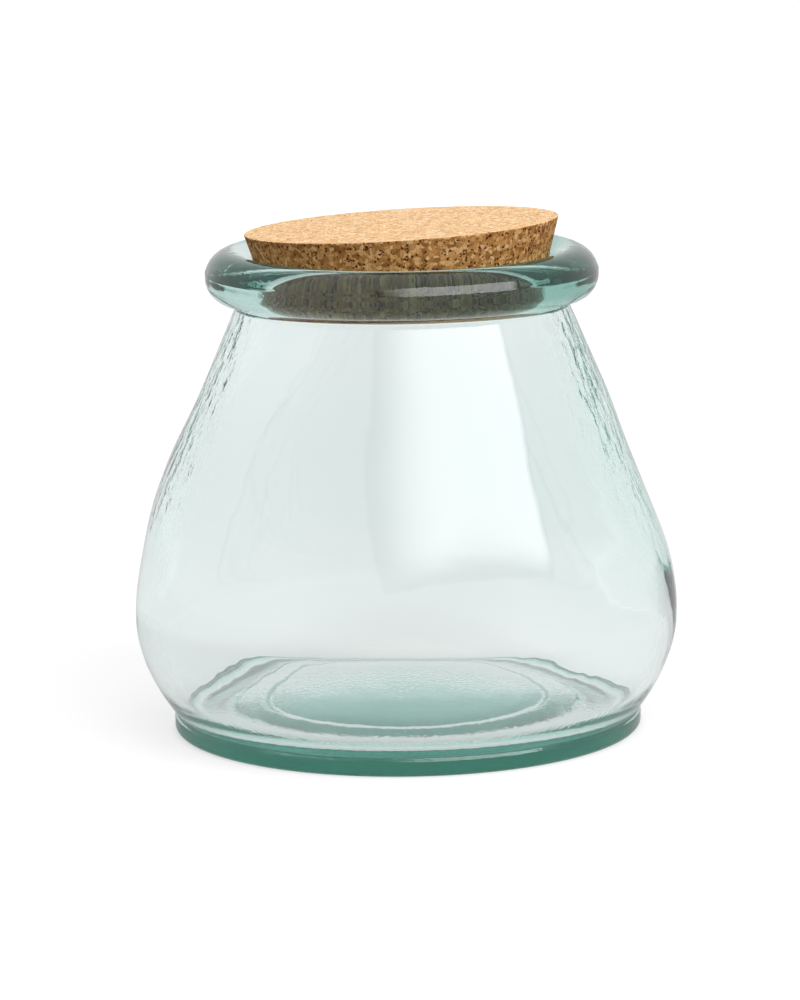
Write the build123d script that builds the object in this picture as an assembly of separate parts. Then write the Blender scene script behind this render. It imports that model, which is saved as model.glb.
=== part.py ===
from build123d import *
import os
from math import cos, hypot, radians, sin, tan

# Squat storage jar of thick recycled glass with a rolled lip, closed by a tapered
# cork stopper that was pushed in a little askew. Lengths are in millimetres.
# The origin is the centre of the plane that the foot rests on, and +Z points up.

# Outside of the glass
belly_radius = 100.0
belly_height = 43.0
neck_radius = 60.4
neck_height = 157.2
cone_height = 107.4  # where the shoulder's bend runs into the cone under the neck
cone_lean = 23.4  # degrees off vertical
waist_radius = 85.4  # narrowest ring, just above the foot
waist_height = 6.2
waist_flare = 40.0  # degrees off vertical where the wall leaves the waist

# Foot and underside
foot_radius = 86.4
foot_height = 4.4
foot_bevel = 2.0
bearing_width = 8.0  # flat ring that touches the table
hollow_side_inset = 11.4  # slope from the bearing ring up to the hollow
ring_radius = 50.5  # round mould mark in the middle of the underside
ring_step = 0.7
hollow_height = 3.4  # underside's lift inside the mould mark

# Rolled lip
rim_radius = 71.8
lip_height = 19.8  # from the neck up to the crest
roll_rise = 9.5  # from the widest ring of the roll up to its crest
throat_radius = 52.6
bore_depth = 8.0  # straight part of the throat, under the roll
bore_flare = 20.0  # degrees off vertical where the wall leaves the bore

# Thickness of the glass
belly_wall = 5.8
floor_thickness = 8.6
floor_edge_inset = 13.0  # from the waist's ring in to the edge of the floor
floor_dome = 4.0  # floor's rise from its edge to its centre

# Stopper
stopper_taper = 16.8  # half angle of the cone, in degrees
stopper_above_seat = 15.1
stopper_below_seat = 12.9
stopper_top_bevel = 0.5
stopper_bottom_bevel = 1.0
stopper_lean = 2.8  # degrees, with the +X side high
stopper_nod = 0.6  # degrees, with the -Y side low
seat_clearance = 0.25

# Fullness of each bend at its two ends, as shares of the distance between its ends
flank_reach_shares = (0.19, 0.42)
shoulder_reach_shares = (0.22, 0.51)
inside_reach_shares = (0.14, 0.29)
heel_reach_shares = (0.36, 0.58)

up = Vector(0, 1)
outward = Vector(1, 0)
half_turn = 180.0


def leaning(angle: float) -> Vector:
    """Upward direction that leans outwards by an angle in degrees."""
    return Vector(sin(radians(angle)), cos(radians(angle)))


def bend(start: Vector, leaving: Vector, end: Vector, arriving: Vector, reach_shares: tuple) -> Edge:
    """Smooth curve between two points with a given direction at each."""
    leaving_share, arriving_share = reach_shares
    span = (end - start).length
    return Bezier(
        start,
        start + leaving_share * span * leaving,
        end - arriving_share * span * arriving,
        end,
    )


def wall_curves() -> list:
    """Outside of the glass from the waist up over the belly to the neck."""
    waist = Vector(waist_radius, waist_height)
    belly = Vector(belly_radius, belly_height)
    neck = Vector(neck_radius, neck_height)
    cone_rise = neck_height - cone_height
    cone_foot = neck - Vector(-cone_rise * tan(radians(cone_lean)), cone_rise)
    return [
        bend(waist, leaning(waist_flare), belly, up, flank_reach_shares),
        bend(belly, up, cone_foot, leaning(-cone_lean), shoulder_reach_shares),
        Line(cone_foot, neck),
    ]


def roll_centre() -> Vector:
    """Centre of the lip's round."""
    return Vector((rim_radius + throat_radius) / 2, neck_height + lip_height - roll_rise)


def lip_curves() -> list:
    """Roll of the lip, from the neck over the crest and down to the throat."""
    neck = Vector(neck_radius, neck_height)
    centre = roll_centre()
    widest = Vector(rim_radius, centre.Y)
    half_width = rim_radius - centre.X
    return [
        TangentArc(widest, neck, tangent=-up),
        EllipticalCenterArc(centre, half_width, roll_rise, start_angle=0, arc_size=half_turn),
    ]


def inside_curves() -> list:
    """Inside of the glass, from the floor's centre out and up the wall to the throat."""
    floor_height = hollow_height + floor_thickness
    centre = Vector(0, floor_height + floor_dome)
    floor_edge = Vector(waist_radius - floor_edge_inset, floor_height)
    belly = Vector(belly_radius - belly_wall, belly_height)
    throat = Vector(throat_radius, roll_centre().Y)
    bore_foot = throat - bore_depth * up
    floor = TangentArc(centre, floor_edge, tangent=outward)
    return [
        floor,
        bend(floor_edge, floor % 1, belly, up, heel_reach_shares),
        bend(belly, up, bore_foot, leaning(-bore_flare), inside_reach_shares),
        Line(bore_foot, throat),
    ]


def underside_curves() -> list:
    """Underside, from its centre out over the mould mark and the foot to the waist."""
    outer_height = hollow_height - ring_step
    bearing_outer = foot_radius - foot_bevel
    bearing_inner = bearing_outer - bearing_width
    return [
        Polyline(
            (0, hollow_height),
            (ring_radius, hollow_height),
            (ring_radius, outer_height),
            (bearing_inner - hollow_side_inset, outer_height),
            (bearing_inner, 0),
            (bearing_outer, 0),
            (foot_radius, foot_bevel),
            (foot_radius, foot_height),
            (waist_radius, waist_height),
        ),
    ]


def glass_jar() -> Solid:
    """The jar: one piece of glass with a wall of uneven thickness."""
    inside = inside_curves()
    underside = underside_curves()
    centre_line = Line(underside[0] @ 0, inside[0] @ 0)
    section = make_face([*underside, *wall_curves(), *lip_curves(), *inside, centre_line])
    return revolve(Plane.XZ * section, Axis.Z).solid()


def seat_ring() -> Vector:
    """Radius and height of the ring on the stopper that faces the throat's round.

    The round is half an ellipse, and the stopper's side is parallel to its tangent
    there, one clearance away.
    """
    centre = roll_centre()
    half_width = centre.X - throat_radius
    across = cos(radians(stopper_taper))
    along = sin(radians(stopper_taper))
    reach = hypot(half_width * across, roll_rise * along)
    return Vector(
        centre.X - across * (half_width**2 / reach + seat_clearance),
        centre.Y + along * (roll_rise**2 / reach + seat_clearance),
    )


def cork_stopper() -> Solid:
    """The stopper: a cut cone of bonded cork, tipped about its seat.

    The cone is turned about the centre of the ball that touches it along the seat
    ring, so that it stays seated while it leans.
    """
    seat = seat_ring()
    slope = tan(radians(stopper_taper))
    top_radius = seat.X + stopper_above_seat * slope
    bottom_radius = seat.X - stopper_below_seat * slope
    top_height = seat.Y + stopper_above_seat
    bottom_height = seat.Y - stopper_below_seat
    section = make_face(
        Polyline(
            (0, bottom_height),
            (bottom_radius, bottom_height),
            (top_radius, top_height),
            (0, top_height),
            close=True,
        )
    )
    bevels = (
        ((top_radius, top_height), stopper_top_bevel),
        ((bottom_radius, bottom_height), stopper_bottom_bevel),
    )
    for corner, width in bevels:
        vertex = section.vertices().sort_by_distance(corner)[0]
        section = chamfer(vertex, width)
    upright = revolve(Plane.XZ * section, Axis.Z).solid()
    ball_height = seat.Y + seat.X * slope
    tip = Rot(stopper_nod, -stopper_lean, 0)
    return Pos(0, 0, ball_height) * tip * Pos(0, 0, -ball_height) * upright


os.makedirs("parts", exist_ok=True)
export_step(glass_jar(), "parts/glass_jar.step")
export_step(cork_stopper(), "parts/cork_stopper.step")
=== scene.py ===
"""Studio scene of a squat storage jar of recycled glass with a tapered cork stopper.

Lengths are in metres in the CAD model's frame: +Z is up, and -Y points at the camera.
"""
import logging
import math
from collections.abc import Callable, Sequence
from dataclasses import dataclass, field
from enum import Enum

import bpy
from mathutils import Matrix, Vector
from mathutils.geometry import interpolate_bezier


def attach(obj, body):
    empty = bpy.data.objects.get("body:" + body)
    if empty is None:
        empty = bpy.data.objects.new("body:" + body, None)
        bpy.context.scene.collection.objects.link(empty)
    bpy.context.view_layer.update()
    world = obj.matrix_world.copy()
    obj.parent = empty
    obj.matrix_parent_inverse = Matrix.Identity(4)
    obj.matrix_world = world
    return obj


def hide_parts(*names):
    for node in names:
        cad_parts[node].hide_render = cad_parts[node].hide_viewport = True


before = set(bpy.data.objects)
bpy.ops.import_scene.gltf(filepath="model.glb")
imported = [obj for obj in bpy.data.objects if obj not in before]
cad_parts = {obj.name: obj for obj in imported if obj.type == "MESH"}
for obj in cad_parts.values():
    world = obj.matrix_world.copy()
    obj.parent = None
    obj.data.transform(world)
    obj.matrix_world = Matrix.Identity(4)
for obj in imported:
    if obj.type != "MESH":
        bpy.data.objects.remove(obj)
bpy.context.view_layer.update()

LOG = logging.getLogger("jar_scene")
MM = 0.001
Point = tuple[float, float]
QUARTER_ROUND = 0.56  # handles that make a bend a quarter round, as a share of its reach
STRAIGHT_RUN = (1 / 3, 1 / 3)  # handles that space a straight run's points evenly


class Zone(Enum):
    """Surfaces of the jar in the order in which its section meets them."""

    UNDERSIDE = "underside"
    FOOT = "foot"
    OUTSIDE = "outside"
    LIP = "lip"
    THROAT = "throat"
    INSIDE = "inside"
    FLOOR = "floor"


class Direction(Enum):
    """Ways in which a press moves the glass."""

    SIDEWAYS = "X"
    DEEP = "Y"
    UPWARDS = "Z"
    OUTWARDS = "NORMAL"


def linear_colour(code: str) -> tuple[float, float, float, float]:
    """Turns an sRGB hex colour into linear light.

    Args:
        code: Colour as six hex digits after a number sign.

    Returns:
        Red, green, blue and an opacity of one.
    """
    shares = [int(code[start : start + 2], 16) / 255 for start in (1, 3, 5)]
    light = [s / 12.92 if s <= 0.04045 else ((s + 0.055) / 1.055) ** 2.4 for s in shares]
    return (light[0], light[1], light[2], 1.0)


def add_node(
    tree: bpy.types.NodeTree,
    kind: str,
    inputs: dict | None = None,
    stops: Sequence[tuple[float, str]] = (),
    **settings: object,
) -> bpy.types.Node:
    """Adds a node with its settings and links.

    Args:
        tree: Node tree that gets the node.
        kind: The node's type.
        inputs: For each input socket, by name or number, a value or the output that feeds it.
        stops: Places and hex colours of a colour ramp.
        settings: Other properties of the node by name.

    Returns:
        The new node.
    """
    node = tree.nodes.new(kind)
    for name, value in settings.items():
        setattr(node, name, value)
    for socket, value in (inputs or {}).items():
        if isinstance(value, bpy.types.NodeSocket):
            tree.links.new(value, node.inputs[socket])
        else:
            node.inputs[socket].default_value = value
    for index, (place, code) in enumerate(stops):
        elements = node.color_ramp.elements
        stop = elements[index] if index < len(elements) else elements.new(place)
        stop.position = place
        stop.color = linear_colour(code)
    return node


def new_material(name: str) -> bpy.types.Material:
    """Makes a material with an empty node tree.

    Args:
        name: What the finish is.

    Returns:
        The new material.
    """
    material = bpy.data.materials.new(name)
    material.use_nodes = True
    material.node_tree.nodes.clear()
    return material


def leaning(angle: float) -> Vector:
    """Gives the upward direction of a section that leans outwards by an angle in degrees."""
    return Vector((math.sin(math.radians(angle)), math.cos(math.radians(angle))))


def bend(
    start: Point,
    leaving: Vector,
    end: Point,
    arriving: Vector,
    shares: tuple[float, float],
    steps: int,
) -> list[Point]:
    """Gives the points of a smooth curve between two points of a section.

    Args:
        start: First point.
        leaving: Direction in which the curve leaves it.
        end: Last point.
        arriving: Direction in which the curve arrives there.
        shares: How full the curve is at its ends, as shares of its span.
        steps: Number of steps along it.

    Returns:
        The points, both ends included.
    """
    first, last = Vector(start), Vector(end)
    span = (last - first).length
    near = first + shares[0] * span * leaving
    far = last - shares[1] * span * arriving
    points = interpolate_bezier(first.to_3d(), near.to_3d(), far.to_3d(), last.to_3d(), steps + 1)
    return [(point.x, point.y) for point in points]


def soft_corner(
    before: Point, corner: Point, after: Point, reach: float, steps: int
) -> list[Point]:
    """Rounds a corner of a section.

    Args:
        before: A point on the line that comes in.
        corner: The sharp corner.
        after: A point on the line that goes out.
        reach: Distance from the corner at which the round starts and ends.
        steps: Number of steps along the round.

    Returns:
        The points of the round.
    """
    tip = Vector(corner)
    coming = (tip - Vector(before)).normalized()
    going = (Vector(after) - tip).normalized()
    start = tip - reach * coming
    end = tip + reach * going
    share = QUARTER_ROUND * reach / max((end - start).length, reach * 0.1)
    return bend(tuple(start), coming, tuple(end), going, (share, share), steps)


def deselect_all() -> None:
    """Leaves no object selected, because operators act on all that is."""
    bpy.ops.object.select_all(action="DESELECT")


def make_active(piece: bpy.types.Object) -> None:
    """Selects one object alone and makes it the active one.

    Args:
        piece: The object.
    """
    deselect_all()
    piece.select_set(True)
    bpy.context.view_layer.objects.active = piece


def draw_section(name: str, points: Sequence[Point]) -> bpy.types.Object:
    """Draws half a section as a line of vertices, extruded one after the other.

    Args:
        name: Name of the piece.
        points: Radius and height of each vertex.

    Returns:
        The object, with its place in its mesh.
    """
    deselect_all()
    bpy.ops.mesh.primitive_plane_add(size=MM, location=(points[0][0], 0, points[0][1]))
    piece = bpy.context.object
    piece.name = name
    piece.data.name = name
    bpy.ops.object.mode_set(mode="EDIT")
    bpy.ops.mesh.select_all(action="SELECT")
    bpy.ops.mesh.merge(type="CENTER")
    for (r0, z0), (r1, z1) in zip(points, points[1:]):
        bpy.ops.mesh.extrude_verts_indiv()
        bpy.ops.transform.translate(value=(r1 - r0, 0, z1 - z0))
    bpy.ops.object.mode_set(mode="OBJECT")
    bpy.ops.object.transform_apply(location=True, rotation=True, scale=True)
    return piece


def turn_section(piece: bpy.types.Object, steps: int) -> None:
    """Spins a drawn section about the upright axis into a closed solid.

    Args:
        piece: The object with the section.
        steps: Number of steps in the full turn.
    """
    make_active(piece)
    bpy.ops.object.mode_set(mode="EDIT")
    bpy.ops.mesh.select_all(action="SELECT")
    bpy.ops.mesh.spin(steps=steps, angle=math.tau, center=(0, 0, 0), axis=(0, 0, 1))
    bpy.ops.mesh.select_all(action="SELECT")
    bpy.ops.mesh.remove_doubles(threshold=MM / 1000)
    bpy.ops.mesh.normals_make_consistent(inside=False)
    bpy.ops.object.mode_set(mode="OBJECT")
    bpy.ops.object.shade_smooth()


@dataclass(frozen=True)
class Press:
    """One way in which hand work left the glass uneven, between two heights.

    Attributes:
        name: What it is.
        zones: Surfaces that it moves.
        heights: Where it starts, is full, is still full, and ends.
        move: Greatest shift.
        direction: Which way it shifts the glass.
        swell: Width of its swells, or zero for an even shift.
        stretch: How many times taller than wide the swells are.
        tilt: Distance from the axis at which a press that grows from front to back is full,
            or zero.
    """

    name: str
    zones: tuple[Zone, ...]
    heights: tuple[float, float, float, float]
    move: float
    direction: Direction = Direction.OUTWARDS
    swell: float = 0.0
    stretch: float = 1.0
    tilt: float = 0.0

    def weight(self, zone: Zone, height: float) -> float:
        """Gives how much the press moves a point of the section.

        Args:
            zone: The surface that the point is on.
            height: The point's height.

        Returns:
            A share from zero to one.
        """
        if zone not in self.zones:
            return 0.0
        low, full, still, high = self.heights
        rise = (height - low) / max(full - low, MM / 100)
        fall = (high - height) / max(high - still, MM / 100)
        share = min(max(min(rise, fall), 0.0), 1.0)
        return share * share * (3 - 2 * share)

    def apply(self, piece: bpy.types.Object) -> None:
        """Moves the glass with a displacement that is then applied.

        Args:
            piece: The jar, with a vertex group of this press's name.
        """
        make_active(piece)
        modifier = piece.modifiers.new(self.name, "DISPLACE")
        modifier.vertex_group = self.name
        modifier.direction = self.direction.value
        modifier.strength = self.move
        modifier.mid_level = 0.0
        guide = None
        if self.swell or self.tilt:
            pattern = bpy.data.textures.new(self.name, "BLEND" if self.tilt else "CLOUDS")
            if self.swell:
                pattern.noise_scale = self.swell
                pattern.noise_depth = 1
            modifier.texture = pattern
            modifier.mid_level = 0.5
            guide = bpy.data.objects.new(self.name, None)
            bpy.context.scene.collection.objects.link(guide)
            guide.scale = (1, 1, self.stretch)
            if self.tilt:
                guide.scale = (self.tilt, self.tilt, self.tilt)
                guide.rotation_euler = (0, 0, math.pi / 2)
            bpy.context.view_layer.update()
            modifier.texture_coords = "OBJECT"
            modifier.texture_coords_object = guide
        bpy.ops.object.modifier_apply(modifier=self.name)
        if guide:
            bpy.data.objects.remove(guide)


@dataclass(frozen=True)
class RecycledGlass:
    """Pressed and blown soda-lime glass, fire-polished.

    Clear with a pale aqua tint that deepens with its thickness, and faintly wavy. The foot
    and the lip get a tint of their own, because absorption alone leaves them too pale.
    """

    name: str = "fire-polished recycled soda-lime glass"
    refraction: float = 1.51
    absorbed: tuple[float, float, float] = (12.5, 6.4, 7.4)  # per metre, for red, green and blue
    density_share: float = 1.1  # of the most that is absorbed, so that no colour gets to zero
    foot_tint: str = "#A8E8D6"
    foot_radii: tuple[float, float] = (78 * MM, 82 * MM)  # where the foot's tint sets in
    foot_heights: tuple[float, float] = (8 * MM, 5.5 * MM)
    lip_tint: str = "#A8CCC2"  # strongest at +X, where the photograph's lip is darkest
    lip_heights: tuple[float, float] = (158 * MM, 163 * MM)
    lip_left_share: float = 0.15  # of the lip's tint at -X
    ripple: float = 9 * MM  # width of the soft ripples all over
    ripple_depth: float = 0.05 * MM
    calm_heights: tuple[float, float] = (157 * MM, 162 * MM)  # where they get weaker
    calm_share: float = 0.35
    grain: float = 1.5 * MM  # width of the fine hammering at the base
    grain_depth: float = 0.10 * MM
    grain_heights: tuple[float, float] = (22 * MM, 6 * MM)  # where it sets in, downwards
    wrinkle: float = 4.5 * MM  # width of the upright wrinkles on both flanks
    wrinkle_depth: float = 0.35 * MM
    wrinkle_squash: float = 0.28  # of the pattern upwards, which draws the wrinkles tall
    wrinkle_sides: tuple[float, float] = (0.82, 0.98)  # share of X in the direction outwards
    wrinkle_heights: tuple[float, float] = (62 * MM, 100 * MM)  # where they set in
    wrinkle_end: tuple[float, float] = (161 * MM, 157 * MM)  # where they stop, under the lip

    def build(self) -> bpy.types.Material:
        """Makes the material.

        Returns:
            The glass.
        """
        material = new_material(self.name)
        tree = material.node_tree
        density = max(self.absorbed) * self.density_share
        tint = [1 - part / density for part in self.absorbed]
        place = add_node(tree, "ShaderNodeTexCoord").outputs["Object"]
        height = add_node(tree, "ShaderNodeSeparateXYZ", {0: place}).outputs["Z"]
        level = add_node(
            tree, "ShaderNodeVectorMath", {0: place, 1: (1, 1, 0)}, operation="MULTIPLY"
        ).outputs[0]
        radius = add_node(tree, "ShaderNodeVectorMath", {0: level}, operation="LENGTH")
        facing = add_node(tree, "ShaderNodeVectorMath", {0: level}, operation="NORMALIZE")
        across = add_node(tree, "ShaderNodeSeparateXYZ", {0: facing.outputs[0]}).outputs["X"]
        aside = add_node(tree, "ShaderNodeMath", {0: across}, operation="ABSOLUTE")
        places = {}
        for part, value, (none, full), blend in (
            ("base", height, self.grain_heights, "SMOOTHSTEP"),
            ("flanks", aside.outputs[0], self.wrinkle_sides, "SMOOTHSTEP"),
            ("upper body", height, self.wrinkle_heights, "LINEAR"),
            ("below lip", height, self.wrinkle_end, "LINEAR"),
            ("outer edge", radius.outputs["Value"], self.foot_radii, "SMOOTHSTEP"),
            ("foot", height, self.foot_heights, "SMOOTHSTEP"),
            ("lip", height, self.lip_heights, "SMOOTHSTEP"),
        ):
            places[part] = add_node(
                tree,
                "ShaderNodeMapRange",
                {"Value": value, "From Min": none, "From Max": full},
                interpolation_type=blend,
            ).outputs[0]
        calm = add_node(
            tree,
            "ShaderNodeMapRange",
            {
                "Value": height,
                "From Min": self.calm_heights[0],
                "From Max": self.calm_heights[1],
                "To Min": 1.0,
                "To Max": self.calm_share,
            },
        )
        rightwards = add_node(
            tree,
            "ShaderNodeMapRange",
            {
                "Value": across,
                "From Min": -1.0,
                "From Max": 1.0,
                "To Min": self.lip_left_share,
                "To Max": 1.0,
            },
        )
        for part, other in (
            ("flanks", places["upper body"]),
            ("flanks", places["below lip"]),
            ("foot", places["outer edge"]),
            ("lip", rightwards.outputs[0]),
        ):
            places[part] = add_node(
                tree, "ShaderNodeMath", {0: places[part], 1: other}, operation="MULTIPLY"
            ).outputs[0]
        drawn = add_node(
            tree,
            "ShaderNodeVectorMath",
            {0: place, 1: (1, 1, self.wrinkle_squash)},
            operation="MULTIPLY",
        ).outputs[0]
        upon: dict[str, bpy.types.NodeSocket] = {}  # each relief goes on the ones before it
        for spot, width, detail, share, depth in (
            (place, self.ripple, 1.0, calm.outputs[0], self.ripple_depth),
            (drawn, self.wrinkle, 3.0, places["flanks"], self.wrinkle_depth),
            (place, self.grain, 2.0, places["base"], self.grain_depth),
        ):
            pattern = add_node(
                tree, "ShaderNodeTexNoise", {"Vector": spot, "Scale": 1 / width, "Detail": detail}
            )
            relief = add_node(
                tree,
                "ShaderNodeBump",
                {"Height": pattern.outputs["Fac"], "Strength": share, "Distance": depth, **upon},
            )
            upon = {"Normal": relief.outputs["Normal"]}
        cast: bpy.types.NodeSocket | tuple[float, ...] = (1, 1, 1, 1)
        for share, code in ((places["foot"], self.foot_tint), (places["lip"], self.lip_tint)):
            cast = add_node(
                tree,
                "ShaderNodeMix",
                {0: share, 6: cast, 7: linear_colour(code)},
                data_type="RGBA",
            ).outputs[2]
        surface = add_node(
            tree,
            "ShaderNodeBsdfPrincipled",
            {
                "Base Color": cast,
                "Roughness": 0.0,
                "IOR": self.refraction,
                "Transmission Weight": 1.0,
                **upon,
            },
        )
        inner = add_node(
            tree, "ShaderNodeVolumeAbsorption", {"Color": (*tint, 1.0), "Density": density}
        )
        add_node(
            tree,
            "ShaderNodeOutputMaterial",
            {"Surface": surface.outputs["BSDF"], "Volume": inner.outputs["Volume"]},
        )
        return material


@dataclass(frozen=True)
class BondedCork:
    """Agglomerated cork: ground granules pressed into a block with a binder, then cut or sanded.

    Matt, a mosaic of tan, orange and brown granules with dark bits of bark among them.
    Shares are of a granule's width, unless they say otherwise.
    """

    name: str
    granule: float
    colours: tuple[tuple[float, str], ...]
    joint_colour: str
    bark_share: float  # of the flecks that are dark
    bark_colour: str
    relief: float
    warp_share: float = 1.1  # strength of the warp that makes the granules' outlines uneven
    pore: float = 0.5 * MM  # width of the pores, drawn coarser than real ones so that they show
    pore_shades: tuple[float, float] = (0.78, 1.14)  # of the colour, in and between the pores
    joint_share: float = 0.09  # width of the binder's lines
    joint_cover: float = 0.55  # how much they hide the granules' colour
    fleck_fineness: float = 1.6  # how many times smaller flecks of bark are than granules
    fleck_shares: tuple[float, float] = (0.65, 0.4)  # of its own cell, where it starts, is full
    dip_share: float = 0.25  # how far a granule's edge slopes down to its joint
    relief_strength: float = 0.9
    roughness: float = 0.86
    refraction: float = 1.45
    shine: float = 0.1  # far under the usual 0.5

    def build(self) -> bpy.types.Material:
        """Makes the material.

        Returns:
            The cork.
        """
        material = new_material(self.name)
        tree = material.node_tree
        place = add_node(tree, "ShaderNodeTexCoord").outputs["Object"]
        warp = add_node(
            tree, "ShaderNodeTexNoise", {"Vector": place, "Scale": 1 / self.granule, "Detail": 3.0}
        )
        centred = add_node(
            tree,
            "ShaderNodeVectorMath",
            {0: warp.outputs["Color"], 1: (0.5, 0.5, 0.5)},
            operation="SUBTRACT",
        )
        pushed = add_node(
            tree,
            "ShaderNodeVectorMath",
            {0: centred.outputs[0], "Scale": self.granule * self.warp_share},
            operation="SCALE",
        )
        spot = add_node(
            tree, "ShaderNodeVectorMath", {0: place, 1: pushed.outputs[0]}, operation="ADD"
        )
        granules = add_node(
            tree, "ShaderNodeTexVoronoi", {"Vector": spot.outputs[0], "Scale": 1 / self.granule}
        )
        edges = add_node(
            tree,
            "ShaderNodeTexVoronoi",
            {"Vector": spot.outputs[0], "Scale": 1 / self.granule},
            feature="DISTANCE_TO_EDGE",
        )
        lot = add_node(tree, "ShaderNodeSeparateColor", {0: granules.outputs["Color"]})
        body = add_node(tree, "ShaderNodeValToRGB", {0: lot.outputs[0]}, stops=self.colours)
        pores = add_node(
            tree, "ShaderNodeTexNoise", {"Vector": place, "Scale": 1 / self.pore, "Detail": 4.0}
        )
        shade = add_node(
            tree,
            "ShaderNodeMapRange",
            {
                "Value": pores.outputs["Fac"],
                "From Min": 0.3,
                "From Max": 0.7,
                "To Min": self.pore_shades[0],
                "To Max": self.pore_shades[1],
            },
        )
        grained = add_node(
            tree,
            "ShaderNodeVectorMath",
            {0: body.outputs[0], "Scale": shade.outputs[0]},
            operation="SCALE",
        )
        joint = add_node(
            tree,
            "ShaderNodeMapRange",
            {
                "Value": edges.outputs["Distance"],
                "From Min": 0.0,
                "From Max": self.joint_share,
                "To Min": self.joint_cover,
                "To Max": 0.0,
            },
        )
        jointed = add_node(
            tree,
            "ShaderNodeMix",
            {0: joint.outputs[0], 6: grained.outputs[0], 7: linear_colour(self.joint_colour)},
            data_type="RGBA",
        )
        flecks = add_node(
            tree,
            "ShaderNodeTexVoronoi",
            {"Vector": spot.outputs[0], "Scale": self.fleck_fineness / self.granule},
        )
        chance = add_node(tree, "ShaderNodeSeparateColor", {0: flecks.outputs["Color"]})
        bark = add_node(
            tree,
            "ShaderNodeMath",
            {0: chance.outputs[0], 1: self.bark_share},
            operation="LESS_THAN",
        )
        core = add_node(
            tree,
            "ShaderNodeMapRange",
            {
                "Value": flecks.outputs["Distance"],
                "From Min": self.fleck_shares[0],
                "From Max": self.fleck_shares[1],
            },
        )
        dark = add_node(
            tree, "ShaderNodeMath", {0: bark.outputs[0], 1: core.outputs[0]}, operation="MULTIPLY"
        )
        specked = add_node(
            tree,
            "ShaderNodeMix",
            {0: dark.outputs[0], 6: jointed.outputs[2], 7: linear_colour(self.bark_colour)},
            data_type="RGBA",
        )
        dip = add_node(
            tree,
            "ShaderNodeMath",
            {0: edges.outputs["Distance"], 1: self.dip_share},
            operation="MINIMUM",
        )
        sunk = add_node(
            tree, "ShaderNodeMath", {0: dip.outputs[0], 1: dark.outputs[0]}, operation="SUBTRACT"
        )
        rough = add_node(
            tree, "ShaderNodeMath", {0: pores.outputs["Fac"], 1: sunk.outputs[0]}, operation="ADD"
        )
        relief = add_node(
            tree,
            "ShaderNodeBump",
            {
                "Height": rough.outputs[0],
                "Strength": self.relief_strength,
                "Distance": self.relief,
            },
        )
        surface = add_node(
            tree,
            "ShaderNodeBsdfPrincipled",
            {
                "Base Color": specked.outputs[2],
                "Roughness": self.roughness,
                "IOR": self.refraction,
                "Specular IOR Level": self.shine,
                "Normal": relief.outputs["Normal"],
            },
        )
        add_node(tree, "ShaderNodeOutputMaterial", {"Surface": surface.outputs["BSDF"]})
        return material


SANDED_FACE = BondedCork(
    name="sanded face of bonded cork",
    granule=1.4 * MM,
    colours=((0.0, "#E0AE78"), (0.35, "#F1C592"), (0.7, "#FAD8AC"), (1.0, "#FFE6C4")),
    joint_colour="#D09A66",
    bark_share=0.08,
    bark_colour="#96602E",
    relief=0.10 * MM,
)
# Its colours are darker than the face's: partly the cut granules' own colour, partly painted shade
# of a side turned from the light above.
CUT_SIDE_WITH_PAINTED_SHADE = BondedCork(
    name="cut side of bonded cork with painted shade",
    granule=1.5 * MM,
    colours=((0.0, "#8F5F30"), (0.3, "#B8824A"), (0.65, "#D39C60"), (1.0, "#E8B983")),
    joint_colour="#80521F",
    bark_share=0.19,
    bark_colour="#542812",
    relief=0.25 * MM,
)


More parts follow.
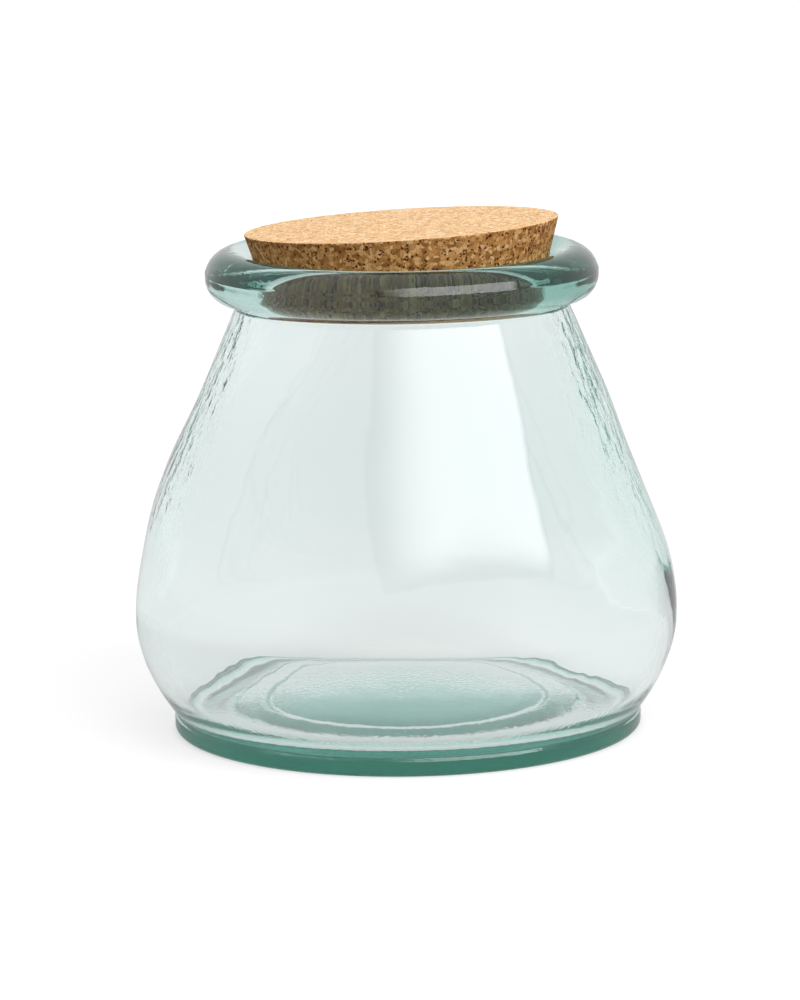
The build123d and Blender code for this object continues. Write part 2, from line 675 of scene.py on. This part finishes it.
@dataclass
class GlassJar:
    """The jar: one piece of thick glass with a rolled lip, a low belly and a waisted foot.

    Leans and flares are degrees off vertical. The reach of a round is its length on each side
    of the corner. Shares say how full a bend is at its two ends, in the section's order.
    """

    belly_radius: float = 99.8 * MM
    belly_height: float = 43.0 * MM
    neck_radius: float = 60.4 * MM
    neck_height: float = 157.2 * MM
    cone_height: float = 107.4 * MM
    cone_lean: float = 23.4
    waist_radius: float = 85.4 * MM
    waist_height: float = 7.2 * MM
    waist_flare: float = 40.0
    foot_radius: float = 86.3 * MM
    foot_height: float = 5.2 * MM
    bearing_width: float = 8.0 * MM
    hollow_side_inset: float = 11.4 * MM
    ring_radius: float = 50.5 * MM
    ring_step: float = 0.7 * MM
    hollow_height: float = 3.4 * MM
    rim_radius: float = 71.7 * MM
    lip_height: float = 19.7 * MM
    roll_rise: float = 9.5 * MM
    throat_radius: float = 52.6 * MM
    bore_depth: float = 8.0 * MM
    bore_flare: float = 20.0
    seam_height: float = 1.8 * MM  # of the mould's seam, above the widest ring of the lip
    seam_relief: float = 0.22 * MM
    seam_spread: float = 0.05  # radians of the roll
    belly_wall: float = 5.8 * MM
    floor_top: float = 18.4 * MM
    valley_radius: float = 79.0 * MM  # lowest ring of the inside, round the floor's dome
    valley_height: float = 10.8 * MM
    mark_reach: float = 0.3 * MM  # of the mould mark's round
    hollow_reach: float = 3 * MM
    inner_heel_reach: float = 1.6 * MM
    outer_heel_reach: float = 2.4 * MM
    bore_reach: float = 1.5 * MM
    run_shares: tuple[float, float] = (0.3, 0.3)
    foot_shares: tuple[float, float] = (0.4, 0.4)
    flank_shares: tuple[float, float] = (0.19, 0.42)
    shoulder_shares: tuple[float, float] = (0.22, 0.51)
    inner_wall_shares: tuple[float, float] = (0.29, 0.14)
    inner_heel_shares: tuple[float, float] = (0.5, 0.14)
    dome_shares: tuple[float, float] = (0.22, 0.52)
    roll_steps: int = 48
    turn_steps: int = 270
    glass: RecycledGlass = field(default_factory=RecycledGlass)
    presses: tuple[Press, ...] = (
        Press(
            "thick right wall",
            (Zone.INSIDE,),
            (28 * MM, 66 * MM, 118 * MM, 156 * MM),
            -1.2 * MM,
            Direction.SIDEWAYS,
        ),
        Press(
            "lean of the shoulder",
            (Zone.OUTSIDE, Zone.INSIDE),
            (60 * MM, 90 * MM, 98 * MM, 128 * MM),
            -1.6 * MM,
            Direction.SIDEWAYS,
        ),
        Press(
            "swells of the outside",
            (Zone.OUTSIDE,),
            (10 * MM, 30 * MM, 140 * MM, 153 * MM),
            0.35 * MM,
            swell=38 * MM,
            stretch=2.2,
        ),
        Press(
            "swells of the inside",
            (Zone.INSIDE,),
            (14 * MM, 34 * MM, 140 * MM, 160 * MM),
            0.8 * MM,
            swell=42 * MM,
            stretch=2.2,
        ),
        Press(
            "dimples of the inside",
            (Zone.INSIDE,),
            (14 * MM, 30 * MM, 145 * MM, 160 * MM),
            0.12 * MM,
            swell=13 * MM,
            stretch=1.6,
        ),
        Press(
            "swells of the floor",
            (Zone.FLOOR,),
            (0, 5 * MM, 20 * MM, 24 * MM),
            0.15 * MM,
            swell=26 * MM,
        ),
        Press(
            "swells of the underside",
            (Zone.UNDERSIDE,),
            (0.5 * MM, 2 * MM, 8 * MM, 9 * MM),
            0.12 * MM,
            swell=16 * MM,
        ),
        Press(
            "ripples of the lip",
            (Zone.LIP,),
            (157.2 * MM, 160 * MM, 170 * MM, 176.8 * MM),
            0.3 * MM,
            swell=14 * MM,
        ),
        Press(
            "tilt of the lip",
            (Zone.LIP, Zone.THROAT, Zone.INSIDE),
            (157.2 * MM, 168 * MM, 190 * MM, 191 * MM),
            5.0 * MM,
            Direction.UPWARDS,
            tilt=62 * MM,
        ),
        Press(
            "shift of the lip",
            (Zone.LIP, Zone.THROAT, Zone.INSIDE),
            (157.2 * MM, 168 * MM, 190 * MM, 191 * MM),
            0.6 * MM,
            Direction.DEEP,
        ),
    )

    def section(self) -> list[tuple[Zone, Point]]:
        """Works out the section, from the underside's centre round to the floor's centre.

        Returns:
            The surface and the radius and height of each point.
        """
        up, inward = Vector((0, 1)), Vector((-1, 0))
        stations: list[tuple[Zone, Point]] = []

        def follow(zone: Zone, points: Sequence[Point]) -> None:
            """Adds points to the section, without the one that is already there."""
            joined = stations and Vector(points[0]) == Vector(stations[-1][1])
            stations.extend((zone, point) for point in (points[1:] if joined else points))

        mark = (self.ring_radius, self.hollow_height)
        step = (self.ring_radius + self.ring_step / 2, self.hollow_height - self.ring_step)
        bearing_outer = self.foot_radius - self.outer_heel_reach
        bearing_inner = bearing_outer - self.bearing_width
        hollow_side = (bearing_inner - self.hollow_side_inset, step[1])
        inner_heel = (bearing_inner, 0.0)
        outer_heel = (self.foot_radius, 0.0)
        foot_top = (self.foot_radius, self.foot_height)
        waist = (self.waist_radius, self.waist_height)
        belly = (self.belly_radius, self.belly_height)
        neck = (self.neck_radius, self.neck_height)
        cone_rise = self.neck_height - self.cone_height
        cone_foot = (
            self.neck_radius + cone_rise * math.tan(math.radians(self.cone_lean)),
            self.cone_height,
        )
        roll_centre = (
            (self.rim_radius + self.throat_radius) / 2,
            self.neck_height + self.lip_height - self.roll_rise,
        )
        half_width = self.rim_radius - roll_centre[0]
        widest = (self.rim_radius, roll_centre[1])
        throat = (self.throat_radius, roll_centre[1])
        bore_foot = (self.throat_radius, roll_centre[1] - self.bore_depth)
        flare = -leaning(-self.bore_flare)
        below_bore = tuple(Vector(bore_foot) + MM * flare)
        inner_belly = (self.belly_radius - self.belly_wall, self.belly_height)
        valley = (self.valley_radius, self.valley_height)
        cone = leaning(-self.cone_lean)
        leaving = leaning(self.waist_flare)
        run = self.run_shares

        follow(Zone.UNDERSIDE, bend((0, self.hollow_height), -inward, mark, -inward, run, 22))
        follow(Zone.UNDERSIDE, soft_corner(mark, step, hollow_side, self.mark_reach, 3))
        follow(Zone.UNDERSIDE, bend(step, -inward, hollow_side, -inward, run, 10)[2:-1])
        follow(Zone.UNDERSIDE, soft_corner(step, hollow_side, inner_heel, self.hollow_reach, 6))
        follow(
            Zone.FOOT, soft_corner(hollow_side, inner_heel, outer_heel, self.inner_heel_reach, 6)
        )
        follow(Zone.FOOT, soft_corner(inner_heel, outer_heel, foot_top, self.outer_heel_reach, 10))
        follow(Zone.FOOT, bend(foot_top, up, waist, up, self.foot_shares, 5))
        follow(Zone.OUTSIDE, bend(waist, leaving, belly, up, self.flank_shares, 30))
        follow(Zone.OUTSIDE, bend(belly, up, cone_foot, cone, self.shoulder_shares, 36))
        follow(Zone.OUTSIDE, bend(cone_foot, cone, neck, cone, run, 24))
        follow(Zone.LIP, self.under_roll(neck, widest, 18))
        seam_angle = math.asin(self.seam_height / self.roll_rise)
        for number in range(1, self.roll_steps + 1):
            angle = math.pi * number / self.roll_steps
            away = (angle - seam_angle) / self.seam_spread
            seam = self.seam_relief * math.exp(-(away**2))
            point = (
                roll_centre[0] + (half_width + seam) * math.cos(angle),
                roll_centre[1] + self.roll_rise * math.sin(angle),
            )
            stations.append((Zone.THROAT if angle > math.pi / 2 else Zone.LIP, point))
        follow(Zone.INSIDE, soft_corner(throat, bore_foot, below_bore, self.bore_reach, 6))
        bore_end = stations[-1][1]
        follow(Zone.INSIDE, bend(bore_end, flare, inner_belly, -up, self.inner_wall_shares, 54))
        follow(Zone.INSIDE, bend(inner_belly, -up, valley, inward, self.inner_heel_shares, 36))
        centre = (0, self.floor_top)
        follow(Zone.FLOOR, bend(valley, inward, centre, inward, self.dome_shares, 40))
        return stations

    def under_roll(self, neck: Point, widest: Point, steps: int) -> list[Point]:
        """Rounds the underside of the lip, upright at its widest ring and creased at the neck.

        Args:
            neck: Where the round meets the neck.
            widest: Where it is upright.
            steps: Number of steps along the round.

        Returns:
            The points of the round.
        """
        across, rise = widest[0] - neck[0], widest[1] - neck[1]
        radius = (across**2 + rise**2) / (2 * across)
        sweep = math.asin(rise / radius)
        angles = [-sweep * (steps - number) / steps for number in range(steps + 1)]
        return [
            (widest[0] - radius * (1 - math.cos(angle)), widest[1] + radius * math.sin(angle))
            for angle in angles
        ]

    def build(self) -> bpy.types.Object:
        """Turns the section, works the glass by hand and dresses it.

        Returns:
            The jar.
        """
        stations = self.section()
        jar = draw_section("recycled_glass_jar", [point for _, point in stations])
        for press in self.presses:
            group = jar.vertex_groups.new(name=press.name)
            for index, (zone, (_, height)) in enumerate(stations):
                group.add([index], press.weight(zone, height), "REPLACE")
        turn_section(jar, self.turn_steps)
        for press in self.presses:
            press.apply(jar)
        jar.vertex_groups.clear()
        jar.data.materials.append(self.glass.build())
        return jar


@dataclass
class CorkStopper:
    """The stopper: a cut cone of bonded cork that leans in the throat.

    Its radii and heights are those of the cone before it is tipped.
    """

    top_radius: float = 57.32 * MM
    bottom_radius: float = 48.87 * MM
    top_height: float = 185.39 * MM
    bottom_height: float = 157.39 * MM
    top_round: float = 0.6 * MM
    bottom_round: float = 1.2 * MM
    pivot_height: float = 186.22 * MM  # of the ball's centre that touches the cone at its seat
    lean: float = 2.8  # degrees, with the +X side high
    nod: float = 0.6  # degrees, with the -Y side low
    turn_steps: int = 360
    face: BondedCork = SANDED_FACE
    side: BondedCork = CUT_SIDE_WITH_PAINTED_SHADE
    level_share: float = 0.5  # least Z of the normals of its top and bottom

    def section(self) -> list[Point]:
        """Works out the section, from the bottom's centre to the top's.

        Returns:
            Radius and height of each point.
        """
        low_centre = (0.0, self.bottom_height)
        low_edge = (self.bottom_radius, self.bottom_height)
        high_edge = (self.top_radius, self.top_height)
        high_centre = (0.0, self.top_height)
        out, inward = Vector((1, 0)), Vector((-1, 0))
        slope = (Vector(high_edge) - Vector(low_edge)).normalized()
        low_round = soft_corner(low_centre, low_edge, high_edge, self.bottom_round, 4)
        high_round = soft_corner(low_edge, high_edge, high_centre, self.top_round, 4)
        return [
            *bend(low_centre, out, low_round[0], out, STRAIGHT_RUN, 24)[:-1],
            *low_round,
            *bend(low_round[-1], slope, high_round[0], slope, STRAIGHT_RUN, 36)[1:-1],
            *high_round,
            *bend(high_round[-1], inward, high_centre, inward, STRAIGHT_RUN, 48)[1:],
        ]

    def build(self) -> bpy.types.Object:
        """Turns the section, tips it in the throat and dresses it.

        Returns:
            The stopper.
        """
        stopper = draw_section("bonded_cork_stopper", self.section())
        turn_section(stopper, self.turn_steps)
        stopper.data.materials.append(self.side.build())
        stopper.data.materials.append(self.face.build())
        # Top and bottom take the face's lighter colours; the side takes darker ones, partly painted
        # shade.
        for polygon in stopper.data.polygons:
            polygon.material_index = int(abs(polygon.normal.z) > self.level_share)
        make_active(stopper)
        bpy.ops.object.mode_set(mode="EDIT")
        bpy.ops.mesh.select_all(action="SELECT")
        pivot = (0, 0, self.pivot_height)
        bpy.ops.transform.rotate(
            value=math.radians(self.lean), orient_axis="Y", center_override=pivot
        )
        bpy.ops.transform.rotate(
            value=-math.radians(self.nod), orient_axis="X", center_override=pivot
        )
        bpy.ops.object.mode_set(mode="OBJECT")
        return stopper


@dataclass
class Studio:
    """White room and floor, a large soft lamp to the front right, and the photograph's camera.

    Lengths are in metres and angles in degrees. The levels are given: 1 is white for the
    room and for the floor's glow.
    """

    camera_place: tuple[float, float, float] = (0.0, -1.300, 0.3024)
    camera_pitch: float = 9.55  # down
    camera_yaw: float = 0.08
    camera_roll: float = 0.84
    lens: float = 129.0  # millimetres, as is the sensor
    sensor: float = 36.0
    sight: float = 100.0
    lamp_azimuth: float = 30.0
    lamp_elevation: float = 40.0
    lamp_distance: float = 3.6
    lamp_width: float = 5.6
    lamp_height: float = 2.4
    lamp_strength: float = 5.5
    lamp_fades: tuple[tuple[str, float, float], ...] = (  # axis, and where dark and full
        ("X", -0.5, -0.08),
        ("X", 0.5, 0.43),
        ("Y", -0.46, -0.24),
        ("Y", 0.5, 0.38),
    )
    room_light: float = 0.40  # what lights matt surfaces from the sides
    overhead_light: float = 1.05
    overhead_rises: tuple[float, float] = (0.55, 0.95)  # Z of directions where it sets in
    wall_top: float = 30.0  # up to which the room is white behind the glass
    ceiling_edge: float = 56.0  # from which it is dark
    ceiling_share: float = 0.04
    room_lean: float = 20.0  # by which the room behind the glass is tipped, lower in front
    mirrored_room: float = 0.85  # what the glass mirrors of the room
    inner_light: float = 0.15  # what lights the cork and the paper through the glass
    floor_size: float = 60.0
    floor_grey: float = 0.3  # what the floor scatters; its glow makes up the rest of its white
    floor_glow: float = 0.76
    far_glow: float = 0.97
    glow_reach: tuple[float, float] = (0.5, 3.0)  # how far out one glow turns to the other
    mirrored_floor: float = 0.5  # share of the glow that the glass mirrors
    covered_glow: float = 0.66  # painted shade under the jar, where less of the room's light comes in
    covered_radius: float = 87 * MM
    glass_bounces: int = 32
    mirror_bounces: int = 24

    def place_camera(self) -> None:
        """Adds the camera at the photograph's viewing angle."""
        deselect_all()
        turn = (
            Matrix.Rotation(math.radians(self.camera_yaw), 4, "Z")
            @ Matrix.Rotation(math.radians(90 - self.camera_pitch), 4, "X")
            @ Matrix.Rotation(-math.radians(self.camera_roll), 4, "Z")
        )
        bpy.ops.object.camera_add(location=self.camera_place, rotation=turn.to_euler())
        camera = bpy.context.object
        camera.name = "photograph_camera"
        camera.data.lens = self.lens
        camera.data.sensor_width = self.sensor
        camera.data.clip_end = self.sight
        bpy.context.scene.camera = camera

    def light_room(self) -> None:
        """Sets a world that is white where it is looked at and a softer grey as a light.

        Its levels differ by kind of ray. Through the glass the ceiling is
        dark, which draws the lip's deep bands and the dark edge lines, and less light reaches
        what stands behind the glass. What the glass mirrors is an even pale grey.
        """
        world = bpy.data.worlds.new("white room")
        world.use_nodes = True
        tree = world.node_tree
        tree.nodes.clear()
        path = add_node(tree, "ShaderNodeLightPath")
        direction = add_node(tree, "ShaderNodeTexCoord").outputs["Generated"]
        seen = add_node(
            tree,
            "ShaderNodeMath",
            {0: path.outputs["Is Camera Ray"], 1: path.outputs["Is Glossy Ray"]},
            operation="MAXIMUM",
        )
        direct = add_node(
            tree,
            "ShaderNodeMath",
            {0: path.outputs["Diffuse Depth"], 1: 0.5},
            operation="LESS_THAN",
        )
        shown = add_node(
            tree, "ShaderNodeMath", {0: seen.outputs[0], 1: direct.outputs[0]}, operation="MULTIPLY"
        )
        through = add_node(
            tree,
            "ShaderNodeMath",
            {0: path.outputs["Transmission Depth"], 1: 0.5},
            operation="GREATER_THAN",
        )
        rise = add_node(tree, "ShaderNodeSeparateXYZ", {0: direction}).outputs["Z"]
        above = add_node(
            tree,
            "ShaderNodeMapRange",
            {
                "Value": rise,
                "From Min": self.overhead_rises[0],
                "From Max": self.overhead_rises[1],
                "To Min": self.room_light,
                "To Max": self.overhead_light,
            },
            interpolation_type="SMOOTHSTEP",
        )
        lighting = add_node(
            tree,
            "ShaderNodeMapRange",
            {"Value": through.outputs[0], "To Min": above.outputs[0], "To Max": self.inner_light},
        )
        strength = add_node(
            tree,
            "ShaderNodeMapRange",
            {"Value": shown.outputs[0], "To Min": lighting.outputs[0], "To Max": 1.0},
        )
        lean = math.radians(self.room_lean)
        height = add_node(
            tree,
            "ShaderNodeVectorMath",
            {0: direction, 1: (0, -math.sin(lean), math.cos(lean))},
            operation="DOT_PRODUCT",
        ).outputs["Value"]
        ceiling = add_node(
            tree,
            "ShaderNodeMapRange",
            {
                "Value": height,
                "From Min": math.sin(math.radians(self.wall_top)),
                "From Max": math.sin(math.radians(self.ceiling_edge)),
                "To Min": 1.0,
                "To Max": self.ceiling_share,
            },
            interpolation_type="SMOOTHSTEP",
        )
        dimmed = add_node(
            tree,
            "ShaderNodeMapRange",
            {
                "Value": path.outputs["Is Transmission Ray"],
                "To Min": 1.0,
                "To Max": ceiling.outputs[0],
            },
        )
        mirrored = add_node(
            tree,
            "ShaderNodeMath",
            {0: path.outputs["Is Glossy Ray"], 1: path.outputs["Is Transmission Ray"]},
            operation="SUBTRACT",
        )
        reflected = add_node(
            tree,
            "ShaderNodeMapRange",
            {"Value": mirrored.outputs[0], "To Min": 1.0, "To Max": self.mirrored_room},
        )
        level = strength.outputs[0]
        for share in (dimmed, reflected):
            level = add_node(
                tree, "ShaderNodeMath", {0: level, 1: share.outputs[0]}, operation="MULTIPLY"
            ).outputs[0]
        glow = add_node(tree, "ShaderNodeBackground", {"Strength": level})
        glow.inputs["Color"].default_value = (1, 1, 1, 1)
        add_node(tree, "ShaderNodeOutputWorld", {"Surface": glow.outputs[0]})
        bpy.context.scene.world = world

    def hang_lamp(self) -> None:
        """Hangs the soft lamp, a cloth panel that glows less towards its edges.

        The glass mirrors it, but it isn't seen by the camera or through the glass.
        """
        deselect_all()
        azimuth, elevation = math.radians(self.lamp_azimuth), math.radians(self.lamp_elevation)
        place = self.lamp_distance * Vector(
            (
                math.cos(elevation) * math.sin(azimuth),
                -math.cos(elevation) * math.cos(azimuth),
                math.sin(elevation),
            )
        )
        turn = place.to_track_quat("Z", "Y").to_euler()
        bpy.ops.mesh.primitive_plane_add(size=1, location=place, rotation=turn)
        lamp = bpy.context.object
        lamp.name = "soft_lamp"
        lamp.scale = (self.lamp_width, self.lamp_height, 1)
        lamp.visible_camera = False
        lamp.visible_transmission = False
        material = new_material("glowing cloth")
        tree = material.node_tree
        place_on = add_node(tree, "ShaderNodeTexCoord").outputs["Object"]
        parts = add_node(tree, "ShaderNodeSeparateXYZ", {0: place_on})
        level: bpy.types.NodeSocket | float = self.lamp_strength
        for axis, dark, bright in self.lamp_fades:
            fade = add_node(
                tree,
                "ShaderNodeMapRange",
                {"Value": parts.outputs[axis], "From Min": dark, "From Max": bright},
                interpolation_type="SMOOTHSTEP",
            )
            level = add_node(
                tree, "ShaderNodeMath", {0: fade.outputs[0], 1: level}, operation="MULTIPLY"
            ).outputs[0]
        glow = add_node(tree, "ShaderNodeEmission", {"Strength": level})
        add_node(tree, "ShaderNodeOutputMaterial", {"Surface": glow.outputs[0]})
        lamp.data.materials.append(material)

    def lay_floor(self) -> None:
        """Lays the floor, which keeps the jar's soft shadow.

        It is a mid grey that glows where it is seen, and so looks white.
        """
        deselect_all()
        bpy.ops.mesh.primitive_plane_add(size=self.floor_size, location=(0, 0, 0))
        floor = bpy.context.object
        floor.name = "white_floor"
        material = new_material("matt paper lit to white")
        tree = material.node_tree
        path = add_node(tree, "ShaderNodeLightPath")
        seen = add_node(
            tree,
            "ShaderNodeMath",
            {0: path.outputs["Is Camera Ray"], 1: path.outputs["Is Transmission Ray"]},
            operation="MAXIMUM",
        )
        mirrored = add_node(
            tree,
            "ShaderNodeMath",
            {0: path.outputs["Is Glossy Ray"], 1: path.outputs["Is Transmission Ray"]},
            operation="SUBTRACT",
        )
        shown = add_node(
            tree,
            "ShaderNodeMath",
            {0: mirrored.outputs[0], 1: self.mirrored_floor, 2: seen.outputs[0]},
            operation="MULTIPLY_ADD",
        )
        place = add_node(tree, "ShaderNodeTexCoord").outputs["Object"]
        away = add_node(tree, "ShaderNodeVectorMath", {0: place}, operation="LENGTH")
        open_floor = add_node(
            tree,
            "ShaderNodeMapRange",
            {
                "Value": away.outputs["Value"],
                "From Min": self.glow_reach[0],
                "From Max": self.glow_reach[1],
                "To Min": self.floor_glow,
                "To Max": self.far_glow,
            },
        )
        # Painted shade: the glow drops to a lower level under the jar.
        glowing = add_node(
            tree,
            "ShaderNodeMapRange",
            {
                "Value": away.outputs["Value"],
                "From Min": self.covered_radius - MM,
                "From Max": self.covered_radius + MM,
                "To Min": self.covered_glow,
                "To Max": open_floor.outputs[0],
            },
        )
        level = add_node(
            tree,
            "ShaderNodeMath",
            {0: glowing.outputs[0], 1: shown.outputs[0]},
            operation="MULTIPLY",
        )
        glow = add_node(tree, "ShaderNodeEmission", {"Strength": level.outputs[0]})
        grey = (self.floor_grey, self.floor_grey, self.floor_grey, 1)
        paper = add_node(tree, "ShaderNodeBsdfDiffuse", {"Color": grey})
        both = add_node(tree, "ShaderNodeAddShader", {0: glow.outputs[0], 1: paper.outputs[0]})
        add_node(tree, "ShaderNodeOutputMaterial", {"Surface": both.outputs[0]})
        floor.data.materials.append(material)

    def build(self) -> None:
        """Sets up the camera, the room, the lamp and the floor."""
        self.place_camera()
        self.light_room()
        self.hang_lamp()
        self.lay_floor()
        scene = bpy.context.scene
        scene.view_settings.view_transform = "Standard"
        scene.cycles.max_bounces = self.glass_bounces
        scene.cycles.transmission_bounces = self.glass_bounces
        scene.cycles.glossy_bounces = self.mirror_bounces
        LOG.info("studio ready")


def main() -> None:
    """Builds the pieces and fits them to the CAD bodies."""
    logging.basicConfig(level=logging.INFO, format="%(name)s: %(message)s")
    Studio().build()
    fitted: tuple[tuple[Callable[[], bpy.types.Object], str, str, str], ...] = (
        (GlassJar().build, "glass_jar", "jar", "glass"),
        (CorkStopper().build, "cork_stopper", "stopper", "cork"),
    )
    for make, node, body, slot in fitted:
        piece = make()
        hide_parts(node)
        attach(piece, body)
        LOG.info("%s: %d faces", piece.name, len(piece.data.polygons))
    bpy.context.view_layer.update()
    deselect_all()


if __name__ == "__main__":
    main()
